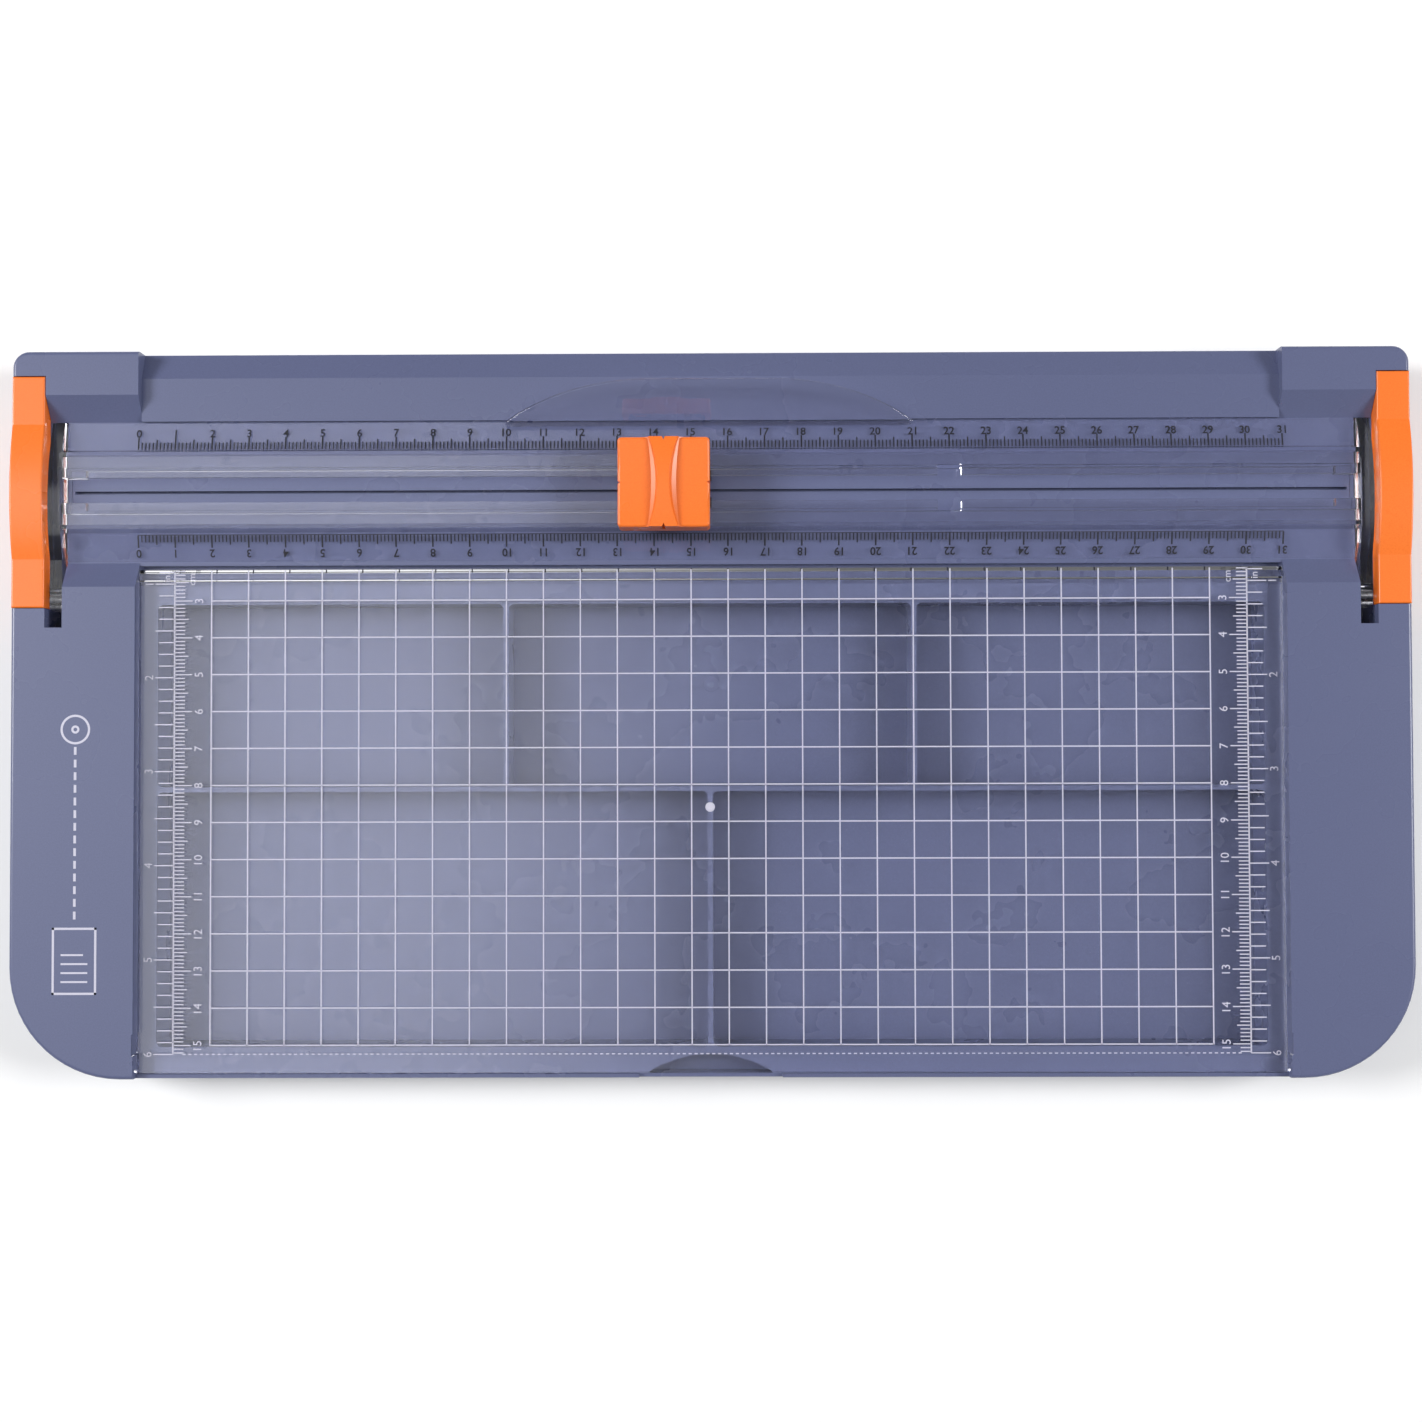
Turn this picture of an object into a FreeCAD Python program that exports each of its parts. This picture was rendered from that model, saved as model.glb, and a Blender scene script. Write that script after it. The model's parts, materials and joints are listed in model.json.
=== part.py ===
import FreeCAD, Part
import math
import os

# A desk-top rotary paper trimmer: a moulded base with a lidded tray, a clear ruler that clamps the
# paper, and a sliding head with a round blade. Millimetres, +X along the cut, +Y to the rear,
# +Z up, origin on the table under the middle of the base.

V = FreeCAD.Vector

# ---- the base seen from above ----
LID_SPAN = 310.0            # width of the opening that the lid lies in
SIDE_RIM = 33.5             # from the lid's opening to the outer side
BLOCK_INSET = 0.7           # corner blocks, which guide the paper, inside the lid's opening
REAR_TO_CUT = 37.9          # rear face to the cut line
BED_LIP = 0.85              # bed between the ruler's recess and the lid's opening
LID_DEPTH = 136.0
LID_REAR_GAP = 1.1
LID_FRONT_GAP = 0.3
LID_SIDE_GAP = 0.35
FRONT_LIP = 1.0
FRONT_CORNER_R = 30.0
REAR_CORNER_R = 4.4
TOP_EDGE_R = 1.0

# ---- heights ----
BED_Z = 17.0
SHELF_STEP = 1.5            # rear shelf and lid above the bed
RIM_STEP = 4.5              # rims and corner blocks above the bed
FOOT_STAND = 1.5            # table to the lower edge of the base
SKIN = 2.2                  # wall of the base
TRAY_FLOOR_Z = 4.0
TRAY_FLOOR = 1.5
TRAY_WALL = 1.6
HIDDEN_GAP = 0.1            # between faces that rest on or beside each other

# ---- tray ----
SIDE_LEDGE = 5.0
REAR_LEDGE = 9.5
FRONT_LEDGE = 6.8
REAR_ROW_DEPTH = 49.5       # clear depth of the three rear compartments
REAR_DIVIDER_X = 55.3       # middle of the two dividers between them
DIVIDER = 1.4
TRAY_CORNER_R = 1.5

# ---- rear shelf and corner blocks ----
SHELF_BACK_SLOPE = 7.0      # length of the slope behind the shelf
SHELF_BACK_DROP = 3.1
BLOCK_SLOPE = 6.8
RIM_SLOPE = 6.8

# ---- finger recess in front ----
FINGER_CHORD = 30.0
FINGER_SAGITTA = 3.8
FINGER_DEPTH = 6.0
FINGER_LIP_CUT = 38.6
FINGER_LIP_DROP = 1.2

# ---- ruler ----
RULER_HALF = 18.8           # cut line to the edge of a flange
RULER_SIDE_GAP = 0.4        # flange to the walls of the bed
FLANGE = 1.8                # thickness beside the raised middle
FLANGE_EDGE = 0.5           # thickness at the outer edge, so that the scale comes down to the paper
CREASE = 11.3               # cut line to the foot of the raised middle
CREASE_SLOPE = 0.9
RAIL_TOP = 5.0              # top of the raised middle above the bed
PLATE = 1.4
RULER_WALL = 1.2
LIP_INNER = 3.4             # half of the slot that the cutter runs in
RIB_INNER = 5.4
RIB = 0.8
RIB_BOTTOM = 1.4            # lower edge of a rail rib above the bed
NOTCH_X = 64.6              # where the carriage is put in
NOTCH_LENGTH = 6.5
EAR = 3.3
EAR_SLOT = 4.7
EAR_INNER_GAP = 0.2
EAR_FRONT = 32.3            # cut line to the front end of an ear
EAR_ARCH = 6.0              # top of an ear above the bed
EAR_FRONT_RISE = 3.8
SLOT_AHEAD = 4.7            # how far an ear's slot runs on in front of it
TAB_CHORD = 110.0
TAB_REACH = 10.1
TAB_RISE = 7.8
TAB = 1.4
TAB_BRIM_R = 0.5
TAB_ROOT = 1.6              # where it springs from the flange, inside the edge
TAB_OVER_SHELF = 0.5        # least height of the tab over the shelf
TAB_CORNER_R = 77.0

# ---- ruler pins ----
PIN_R = 1.5
PIN_RUN = 0.05              # radial running clearance
PIN_FROM_EAR_FRONT = 3.4
PIN_BELOW_BED = 4.0
PIN_HEAD_R = 2.6
PIN_HEAD = 1.2
PIN_BOSS_R = 3.3

# ---- end covers ----
COVER_WIDTH = 9.1
COVER_LENGTH = 63.0
COVER_REAR_FROM_CUT = 31.2
COVER_WALL = 1.8
COVER_ARCH = 2.1            # raised middle above the flat ends
COVER_FLAT = 13.1           # flat end, from which the arch springs
COVER_SEAT_Z = 9.0
COVER_GAP = 0.15
TONGUE = 5.0
TONGUE_DEPTH = 4.0

# ---- lid ----
LID = 2.0
LID_BARREL_R = 1.4
LID_PIN = 2.4
LID_RUN = 0.06
LID_AXIS_FROM_REAR = 1.9
LID_EDGE_R = 0.9
SNAP = 4.6
SNAP_FROM_FRONT = 5.5

# ---- cutting strip ----
STRIP_HALF = 5.8
STRIP = 4.4
GROOVE = 0.8
GROOVE_DEPTH = 2.8
GROOVE_END = 0.7            # solid strip beyond each end of the groove
STRIP_END_WALL = 1.2        # base between the strip's channel and an ear's slot

# ---- carriage and head ----
REST_X = -11.9
CUT_HALF = 156.0            # carriage centre to either end of its travel, from the middle
SHOE_REACH = 12.5
SHOE = 6.0
SHOE_THICK = 1.4
SLIDE_GAP = 0.15
LEG = 0.9
CARRIAGE_HALF_X = 10.4
CARRIAGE_HALF_Y = 10.2
CARRIAGE_PLATE = 1.5
HEAD_X = 24.3
HEAD_Y = 23.7
HEAD_WALL = 1.4
HEAD_BOTTOM = 7.8           # lower edge of the head above the bed
HEAD_TOP = 18.7             # top of the ridge above the bed
HEAD_CEILING = 14.0
HEAD_CORNER_R = 1.0
HEAD_BRIM_R = 0.7           # round edge of the thumb pads
HEAD_ARCH_R = 70.0
PAD_DISH_R = 120.0
PAD_LOW = 16.2              # lowest point of a thumb hollow above the bed
RIDGE_HALF = 1.45
RIDGE_ARC_R = 37.0
RIDGE_FLANK = 0.9           # how far the ridge's side leans out
COVE_RISE = 0.7             # softer lower stretch of the ridge's side
COVE_SPREAD = 1.2
COVE_LAP = 0.25
MARK = 0.9
PRESS = 2.4
POST_X = 8.0
POST_Y = 6.8
POST_R = 1.6
POST_RUN = 0.08
SOCKET_R = 2.9
CATCH = 0.75

# ---- blade ----
BLADE_R = 6.5
BLADE = 0.4
BLADE_REST = 1.5            # lower edge of the resting blade above the bed
HUB_R = 2.2
HUB_FLANGE_R = 3.2
HUB_HALF = 0.8
AXLE_R = 1.0
AXLE_RUN = 0.05
CHEEK_INNER = 0.95
CHEEK_OUTER = 2.45
CHEEK_HALF = 3.0
HOLDER_HALF = 9.0
HOLDER_PLATE = 1.8
SCREW_X = 6.8
SCREW_Y = 4.5
SCREW_R = 1.0
SCREW_HEAD_R = 1.9
SPRING_Y = 7.2
SPRING_R = 1.8
SPRING_WIRE_R = 0.25
SPRING_TURNS = 5

# ---- feet ----
FOOT_R = 5.5
FOOT_SEAT = 1.2
FOOT_BOSS_R = 7.5
FOOT_FROM_SIDE = 17.0
FOOT_FROM_FRONT = 36.0
FOOT_FROM_REAR = 16.5

# ---- places that follow from the sizes ----
BED_HALF = RULER_HALF + RULER_SIDE_GAP
CUT_TO_BED_FRONT = BED_HALF + BED_LIP
WIDTH = LID_SPAN + 2 * SIDE_RIM
DEPTH = REAR_TO_CUT + CUT_TO_BED_FRONT + LID_REAR_GAP + LID_DEPTH + LID_FRONT_GAP + FRONT_LIP
HALF_W = WIDTH / 2
HALF_D = DEPTH / 2
HALF_SPAN = LID_SPAN / 2
CUT_Y = HALF_D - REAR_TO_CUT
BED_FRONT_Y = CUT_Y - CUT_TO_BED_FRONT
LID_REAR_Y = BED_FRONT_Y - LID_REAR_GAP
LID_FRONT_Y = LID_REAR_Y - LID_DEPTH
SHELF_Z = BED_Z + SHELF_STEP
RIM_Z = BED_Z + RIM_STEP
LEDGE_Z = SHELF_Z - LID - HIDDEN_GAP
SLOT_OUTER_X = HALF_W - COVER_WIDTH
SLOT_INNER_X = SLOT_OUTER_X - EAR_SLOT
EAR_X = SLOT_INNER_X + EAR_INNER_GAP
EAR_FRONT_Y = CUT_Y - EAR_FRONT
PIN_Y = EAR_FRONT_Y + PIN_FROM_EAR_FRONT
PIN_Z = BED_Z - PIN_BELOW_BED
SLOT_FRONT_Y = EAR_FRONT_Y - SLOT_AHEAD
COVER_REAR_Y = CUT_Y + COVER_REAR_FROM_CUT
COVER_FRONT_Y = COVER_REAR_Y - COVER_LENGTH
LID_AXIS_Y = LID_REAR_Y - LID_AXIS_FROM_REAR
LID_AXIS_Z = SHELF_Z - LID + 0.2
TRAY_X = HALF_SPAN - SIDE_LEDGE
TRAY_REAR_Y = LID_REAR_Y - REAR_LEDGE
TRAY_FRONT_Y = LID_FRONT_Y + FRONT_LEDGE
ROW_Y = TRAY_REAR_Y - REAR_ROW_DEPTH
STRIP_X = SLOT_INNER_X - STRIP_END_WALL
RAIL_Z = BED_Z + RAIL_TOP
PLATE_Z = RAIL_Z - PLATE
HEAD_Z = BED_Z + HEAD_BOTTOM
CEILING_Z = BED_Z + HEAD_CEILING
CARRIAGE_Z = RAIL_Z + SLIDE_GAP
CARRIAGE_TOP = CARRIAGE_Z + CARRIAGE_PLATE
AXLE_Z = BED_Z + BLADE_REST + BLADE_R
INNER_X = HEAD_X / 2 - HEAD_WALL
INNER_Y = HEAD_Y / 2 - HEAD_WALL
SIDES = (-1, 1)


def box(x0, x1, y0, y1, z0, z1):
    """A box from its limits, given in any order."""
    low = V(min(x0, x1), min(y0, y1), min(z0, z1))
    return Part.makeBox(abs(x1 - x0), abs(y1 - y0), abs(z1 - z0), low)


def side_box(side, x0, x1, y0, y1, z0, z1):
    """A box on the left (-1) or right (+1), its X limits counted outwards from the middle."""
    return box(side * x0, side * x1, y0, y1, z0, z1)


def profile(points, x0, x1):
    """A closed outline of (y, z) points, run along X."""
    corners = [V(min(x0, x1), y, z) for y, z in points]
    wire = Part.makePolygon(corners + corners[:1])
    return Part.Face(wire).extrude(V(abs(x1 - x0), 0, 0))


def arch_profile(points, crest, x0, x1):
    """A closed outline of (y, z) points, run along X, whose last side is an arc over crest."""
    corners = [V(min(x0, x1), y, z) for y, z in points]
    edges = [Part.makeLine(a, b) for a, b in zip(corners, corners[1:])]
    edges.append(Part.Arc(corners[-1], V(min(x0, x1), *crest), corners[0]).toShape())
    return Part.Face(Part.Wire(edges)).extrude(V(abs(x1 - x0), 0, 0))


def rod_x(x0, x1, y, z, r):
    return Part.makeCylinder(r, abs(x1 - x0), V(min(x0, x1), y, z), V(1, 0, 0))


def rod_y(x, y0, y1, z, r):
    return Part.makeCylinder(r, abs(y1 - y0), V(x, min(y0, y1), z), V(0, 1, 0))


def rod_z(x, y, z0, z1, r):
    return Part.makeCylinder(r, abs(z1 - z0), V(x, y, min(z0, z1)))


def joined(first, others):
    """One solid from pieces that overlap."""
    return first.fuse(list(others)).removeSplitter()


def outline(inset, z0, z1):
    """The base's outline, moved in by inset: large round corners in front, small ones behind."""
    x = HALF_W - inset
    y = HALF_D - inset
    front = FRONT_CORNER_R - inset
    rear = max(REAR_CORNER_R - inset, 1.0)
    k = 1 - math.sqrt(0.5)
    edges = []
    corners = [(1, -1, front), (1, 1, rear), (-1, 1, rear), (-1, -1, front)]
    starts = []
    for sx, sy, r in corners:
        on_side = V(sx * x, sy * (y - r), z0)
        on_end = V(sx * (x - r), sy * y, z0)
        middle = V(sx * (x - k * r), sy * (y - k * r), z0)
        first, last = (on_end, on_side) if sx * sy < 0 else (on_side, on_end)
        starts.append((first, middle, last))
    for i, (first, middle, last) in enumerate(starts):
        edges.append(Part.Arc(first, middle, last).toShape())
        edges.append(Part.makeLine(last, starts[(i + 1) % 4][0]))
    return Part.Face(Part.Wire(edges)).extrude(V(0, 0, z1 - z0))


def trough(drop, spread):
    """The space over the bed between its two slopes; drop and spread give the skin under it."""
    rim_foot = CUT_Y - BED_HALF - spread
    block_foot = CUT_Y + BED_HALF + spread
    top = RIM_Z - drop
    return [
        (rim_foot - RIM_SLOPE, RIM_Z + 5), (rim_foot - RIM_SLOPE, top), (rim_foot, BED_Z - drop),
        (block_foot, BED_Z - drop), (block_foot + BLOCK_SLOPE, top), (block_foot + BLOCK_SLOPE, RIM_Z + 5),
    ]


def bed_cut():
    """The space over the bed. Its rear slope is on the corner blocks, and the shelf has a step."""
    whole = profile(trough(0, 0), -SLOT_OUTER_X, SLOT_OUTER_X)
    x = HALF_SPAN - BLOCK_INSET
    return whole.cut(box(-x, x, CUT_Y + BED_HALF, HALF_D, BED_Z - 1, SHELF_Z))


def shelf_cut():
    """The space over the rear shelf and the slope behind it, between the corner blocks."""
    points = [
        (CUT_Y, BED_Z), (CUT_Y + BED_HALF, BED_Z), (CUT_Y + BED_HALF, SHELF_Z),
        (HALF_D - SHELF_BACK_SLOPE, SHELF_Z), (HALF_D, SHELF_Z - SHELF_BACK_DROP),
        (HALF_D + 1, SHELF_Z - SHELF_BACK_DROP), (HALF_D + 1, RIM_Z + 5), (CUT_Y, RIM_Z + 5),
    ]
    return profile(points, -HALF_SPAN + BLOCK_INSET, HALF_SPAN - BLOCK_INSET)


def lid_opening():
    """The recess that the lid lies in, with the channel that its rear edge turns in."""
    bed_edge = box(-HALF_SPAN, HALF_SPAN, BED_FRONT_Y - 1, CUT_Y, BED_Z, RIM_Z + 5)
    recess = box(-HALF_SPAN, HALF_SPAN, LID_FRONT_Y - LID_FRONT_GAP, BED_FRONT_Y, LEDGE_Z, RIM_Z + 5)
    front = box(-HALF_SPAN, HALF_SPAN, -HALF_D - 1, LID_FRONT_Y, SHELF_Z, RIM_Z + 5)
    reach = LID_BARREL_R + 1.0
    channel = box(-HALF_SPAN, HALF_SPAN, LID_AXIS_Y - reach, BED_FRONT_Y, LID_AXIS_Z - reach - 0.8, LEDGE_Z + 1)
    cuts = [recess, front, channel]
    for side in SIDES:
        cuts.append(rod_x(side * (HALF_SPAN - 1), side * (HALF_SPAN + LID_PIN + 0.3), LID_AXIS_Y, LID_AXIS_Z,
                          LID_BARREL_R + LID_RUN))
    return joined(bed_edge, cuts)


def pocket(x0, x1, y0, y1, z0, z1):
    """A tray compartment with round upright corners."""
    solid = box(x0, x1, y0, y1, z0, z1)
    upright = [e for e in solid.Edges if abs(e.tangentAt(e.FirstParameter).z) > 0.9]
    return solid.makeFillet(TRAY_CORNER_R, upright)


def compartments():
    """Three compartments behind, two in front."""
    half = DIVIDER / 2
    rear = [(-TRAY_X, -REAR_DIVIDER_X - half), (-REAR_DIVIDER_X + half, REAR_DIVIDER_X - half),
            (REAR_DIVIDER_X + half, TRAY_X)]
    front = [(-TRAY_X, -half), (half, TRAY_X)]
    pockets = []
    for x0, x1 in rear:
        pockets.append(pocket(x0, x1, ROW_Y, TRAY_REAR_Y, TRAY_FLOOR_Z, LEDGE_Z + 1))
    for x0, x1 in front:
        pockets.append(pocket(x0, x1, TRAY_FRONT_Y, ROW_Y - DIVIDER, TRAY_FLOOR_Z, LEDGE_Z + 1))
    return pockets


def finger_recess():
    """A crescent hollow under the lid's front edge, with a lower stretch of lip in front of it."""
    r = (FINGER_CHORD ** 2 / 4 + FINGER_SAGITTA ** 2) / (2 * FINGER_SAGITTA)
    edge = LID_FRONT_Y + 1.0
    hollow = rod_z(0, edge + FINGER_SAGITTA - r, LEDGE_Z - FINGER_DEPTH, LEDGE_Z + 1, r)
    hollow = hollow.common(box(-r, r, LID_FRONT_Y - LID_FRONT_GAP, edge + FINGER_SAGITTA, 0, RIM_Z))
    lip = box(-FINGER_LIP_CUT / 2, FINGER_LIP_CUT / 2, -HALF_D - 1, LID_FRONT_Y, SHELF_Z - FINGER_LIP_DROP, RIM_Z)
    return [hollow, lip]


def foot_places():
    """Name and middle of each foot."""
    places = []
    for end, y in (("front", -HALF_D + FOOT_FROM_FRONT), ("rear", HALF_D - FOOT_FROM_REAR)):
        for side_name, side in (("left", -1), ("right", 1)):
            places.append((f"{end}_{side_name}_foot", side * (HALF_W - FOOT_FROM_SIDE), y))
    return places


def underside():
    """The hollow under the base: all that the skin, the tray, the ribs and the bosses leave."""
    ceiling = RIM_Z - SKIN
    hollow = outline(SKIN, FOOT_STAND - 1, ceiling)
    tray_x = TRAY_X + TRAY_WALL
    ledge_x = HALF_SPAN + SKIN
    channel_low = LID_AXIS_Z - LID_BARREL_R - 1.8 - SKIN
    keep = [
        box(-tray_x, tray_x, TRAY_FRONT_Y - TRAY_WALL, TRAY_REAR_Y + TRAY_WALL, TRAY_FLOOR_Z - TRAY_FLOOR, ceiling),
        box(-ledge_x, ledge_x, -HALF_D, BED_FRONT_Y + SKIN, LEDGE_Z - SKIN, ceiling),
        box(-ledge_x, ledge_x, LID_AXIS_Y - LID_BARREL_R - 1 - SKIN, BED_FRONT_Y + SKIN, channel_low, ceiling),
        box(-FINGER_CHORD / 2 - SKIN, FINGER_CHORD / 2 + SKIN, -HALF_D, TRAY_FRONT_Y,
            LEDGE_Z - FINGER_DEPTH - SKIN, ceiling),
        profile(trough(SKIN, SKIN / 2), -HALF_W, HALF_W),
        box(-STRIP_X, STRIP_X, CUT_Y - STRIP_HALF - 2, CUT_Y + STRIP_HALF + 2, BED_Z - STRIP - SKIN, ceiling),
        box(-ledge_x, ledge_x, CUT_Y + BED_HALF, HALF_D, SHELF_Z - SHELF_BACK_DROP - SKIN, ceiling),
    ]
    for side in SIDES:
        keep.append(side_box(side, SLOT_INNER_X - 2, SLOT_OUTER_X + 2, SLOT_FRONT_Y - SKIN,
                             CUT_Y + BED_HALF + SKIN, PIN_Z - PIN_BOSS_R - 4, ceiling))
        keep.append(side_box(side, SLOT_OUTER_X, HALF_W, COVER_FRONT_Y - SKIN, COVER_REAR_Y + SKIN,
                             BED_Z - SKIN, ceiling))
        keep.append(side_box(side, HALF_W - COVER_WALL - COVER_GAP - SKIN, HALF_W, COVER_FRONT_Y - SKIN,
                             COVER_REAR_Y + SKIN, COVER_SEAT_Z - SKIN, ceiling))
        keep.append(side_box(side, HALF_SPAN, HALF_SPAN + LID_PIN + 2, LID_AXIS_Y - 4, LID_AXIS_Y + 4,
                             LID_AXIS_Z - 4, ceiling))
        keep.append(side_box(side, HALF_SPAN + SKIN, HALF_W, -20, -20 + TRAY_WALL, 6, ceiling))
        keep.append(side_box(side, SLOT_OUTER_X + 2, HALF_W, PIN_Y - 5, PIN_Y - 5 + TRAY_WALL, 6, ceiling))
    for i in range(-2, 3):
        x = i * HALF_SPAN / 2.5
        keep.append(box(x - TRAY_WALL / 2, x + TRAY_WALL / 2, BED_FRONT_Y, HALF_D, BED_Z - STRIP - SKIN, ceiling))
    for _, x, y in foot_places():
        keep.append(rod_z(x, y, FOOT_STAND, ceiling, FOOT_BOSS_R))
    return hollow.cut(keep)


def base_shell():
    """The base: one moulding, open underneath."""
    body = outline(0, FOOT_STAND, RIM_Z)
    rim = [e for e in body.Edges if all(abs(v.Z - RIM_Z) < 1e-6 for v in e.Vertexes)]
    body = body.makeFillet(TOP_EDGE_R, rim)
    cuts = [bed_cut(), shelf_cut(), lid_opening(), underside()]
    cuts += compartments()
    cuts += finger_recess()
    strip_wall = STRIP_HALF + HIDDEN_GAP
    cuts.append(box(-STRIP_X - HIDDEN_GAP, STRIP_X + HIDDEN_GAP, CUT_Y - strip_wall, CUT_Y + strip_wall,
                    BED_Z - STRIP, BED_Z + 1))
    for side in SIDES:
        cuts.append(side_box(side, SLOT_INNER_X, SLOT_OUTER_X, SLOT_FRONT_Y, CUT_Y + BED_HALF, 0, RIM_Z + 1))
        cuts.append(side_box(side, SLOT_OUTER_X, HALF_W + 1, COVER_FRONT_Y, COVER_REAR_Y, BED_Z, RIM_Z + 1))
        cuts.append(side_box(side, HALF_W - COVER_WALL - COVER_GAP, HALF_W + 1, COVER_FRONT_Y, COVER_REAR_Y,
                             COVER_SEAT_Z, RIM_Z + 1))
        cuts.append(rod_x(side * (SLOT_INNER_X - 3), side * (SLOT_OUTER_X + 3), PIN_Y, PIN_Z, PIN_R))
        cuts.append(rod_x(side * (SLOT_OUTER_X + 2), side * (SLOT_OUTER_X + 2.3 + PIN_HEAD), PIN_Y, PIN_Z,
                          PIN_HEAD_R + 0.2))
        snap_y = LID_FRONT_Y + SNAP_FROM_FRONT
        cuts.append(side_box(side, HALF_SPAN - 1, HALF_SPAN + 0.4, snap_y - 0.6, snap_y + SNAP + 0.6,
                             LEDGE_Z, RIM_Z + 1))
        for y0 in tongue_places():
            cuts.append(tongue(side, y0, HIDDEN_GAP))
    for _, x, y in foot_places():
        cuts.append(rod_z(x, y, FOOT_STAND - 1, FOOT_STAND + FOOT_SEAT, FOOT_R))
    return body.cut(cuts).removeSplitter()


def cutting_strip():
    """The replaceable strip under the cut line, with the groove that the blade runs in."""
    strip = box(-STRIP_X, STRIP_X, CUT_Y - STRIP_HALF, CUT_Y + STRIP_HALF, BED_Z - STRIP, BED_Z)
    end = STRIP_X - GROOVE_END
    return strip.cut(box(-end, end, CUT_Y - GROOVE / 2, CUT_Y + GROOVE / 2, BED_Z - GROOVE_DEPTH, BED_Z + 1))


def tongue_places():
    """Rear limits of a cover's two snap tongues, as distances in Y."""
    return (COVER_FRONT_Y + 18, COVER_REAR_Y - 18)


def tongue(side, y0, gap):
    """A cover's snap tongue, or with a gap the hole for it in the base."""
    x0 = SLOT_OUTER_X + 3.0
    return side_box(side, x0 - gap, x0 + 1.5 + gap, y0 - gap, y0 + TONGUE + gap, BED_Z - TONGUE_DEPTH, BED_Z + 1)


def end_cover(side):
    """A snap-on cover over the outer end of a ruler pin, arched like the ear beside it."""
    gap = COVER_GAP
    y0 = COVER_FRONT_Y + gap
    y1 = COVER_REAR_Y - gap
    top = RIM_Z + COVER_ARCH

    def skin(drop, inset, x0, x1):
        seat = COVER_SEAT_Z + gap - 2 * inset
        points = [
            (y1 - COVER_FLAT, RIM_Z - drop), (y1 - inset, RIM_Z - drop), (y1 - inset, seat),
            (y0 + inset, seat), (y0 + inset, RIM_Z - drop), (y0 + COVER_FLAT, RIM_Z - drop),
        ]
        return arch_profile(points, ((y0 + y1) / 2, top - drop), side * x0, side * x1)

    cover = skin(0, 0, SLOT_OUTER_X + gap, HALF_W)
    crest = [e for e in cover.Edges if e.BoundBox.ZMin > RIM_Z - 1e-6]
    cover = cover.makeFillet(0.5, crest)
    cover = cover.cut([
        skin(COVER_WALL, COVER_WALL, SLOT_OUTER_X + 1.2, HALF_W - COVER_WALL),
        side_box(side, SLOT_OUTER_X - 1, HALF_W - COVER_WALL, y0 - 1, y1 + 1, 0, BED_Z + gap),
    ])
    prongs = []
    for place in tongue_places():
        x0 = SLOT_OUTER_X + 3.0
        prong = side_box(side, x0, x0 + 1.5, place, place + TONGUE, BED_Z - TONGUE_DEPTH, top - COVER_WALL + 0.2)
        prongs.append(prong.common(skin(0.5, 0.5, SLOT_OUTER_X, HALF_W)))
    return joined(cover, prongs)


def hinge_pin(side):
    """The ruler's pin, through both walls of the slot and the ear between them."""
    shaft = rod_x(side * (SLOT_INNER_X - 2), side * (SLOT_OUTER_X + 2 + PIN_HEAD), PIN_Y, PIN_Z, PIN_R)
    head = rod_x(side * (SLOT_OUTER_X + 2), side * (SLOT_OUTER_X + 2 + PIN_HEAD), PIN_Y, PIN_Z, PIN_HEAD_R)
    return joined(shaft, [head])


def foot(x, y):
    """A round rubber foot with a bevelled lower edge."""
    top = FOOT_STAND + FOOT_SEAT
    disc = rod_z(x, y, 0, top, FOOT_R)
    lower = [e for e in disc.Edges if e.BoundBox.ZMax < 1e-6]
    return disc.makeChamfer(0.6, lower)


def lid_panel():
    """The clear lid: a plate with a barrel along its rear edge whose ends are the hinge pins."""
    half = HALF_SPAN - LID_SIDE_GAP
    plate = box(-half, half, LID_FRONT_Y, LID_REAR_Y, SHELF_Z - LID, SHELF_Z)
    rear = [e for e in plate.Edges if e.BoundBox.YMin > LID_REAR_Y - 1e-6 and e.Length > LID_SPAN / 2]
    plate = plate.makeFillet(LID_EDGE_R, rear)
    barrel = rod_x(-half, half, LID_AXIS_Y, LID_AXIS_Z, LID_BARREL_R)
    pins = rod_x(-HALF_SPAN - LID_PIN, HALF_SPAN + LID_PIN, LID_AXIS_Y, LID_AXIS_Z, LID_BARREL_R)
    snap_y = LID_FRONT_Y + SNAP_FROM_FRONT
    middle_z = SHELF_Z - LID / 2
    bumps = [side_box(s, half - 1, HALF_SPAN - HIDDEN_GAP, snap_y, snap_y + SNAP, middle_z - 0.5, middle_z + 0.5)
             for s in SIDES]
    return joined(plate, [barrel, pins] + bumps)


def rail_half(side):
    """One half of the ruler's section: side is +1 behind the cut line and -1 in front of it."""
    foot_z = BED_Z + HIDDEN_GAP
    flange_z = foot_z + FLANGE
    inner = CREASE - RULER_WALL
    outline_points = [
        (LIP_INNER, PLATE_Z), (LIP_INNER, RAIL_Z), (CREASE - CREASE_SLOPE, RAIL_Z), (CREASE, flange_z),
        (RULER_HALF, foot_z + FLANGE_EDGE), (RULER_HALF, foot_z), (inner, foot_z), (inner - CREASE_SLOPE, PLATE_Z),
        (RIB_INNER + RIB, PLATE_Z), (RIB_INNER + RIB, BED_Z + RIB_BOTTOM), (RIB_INNER, BED_Z + RIB_BOTTOM),
        (RIB_INNER, PLATE_Z),
    ]
    return profile([(CUT_Y + side * v, z) for v, z in outline_points], -EAR_X - 0.5, EAR_X + 0.5)


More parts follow.
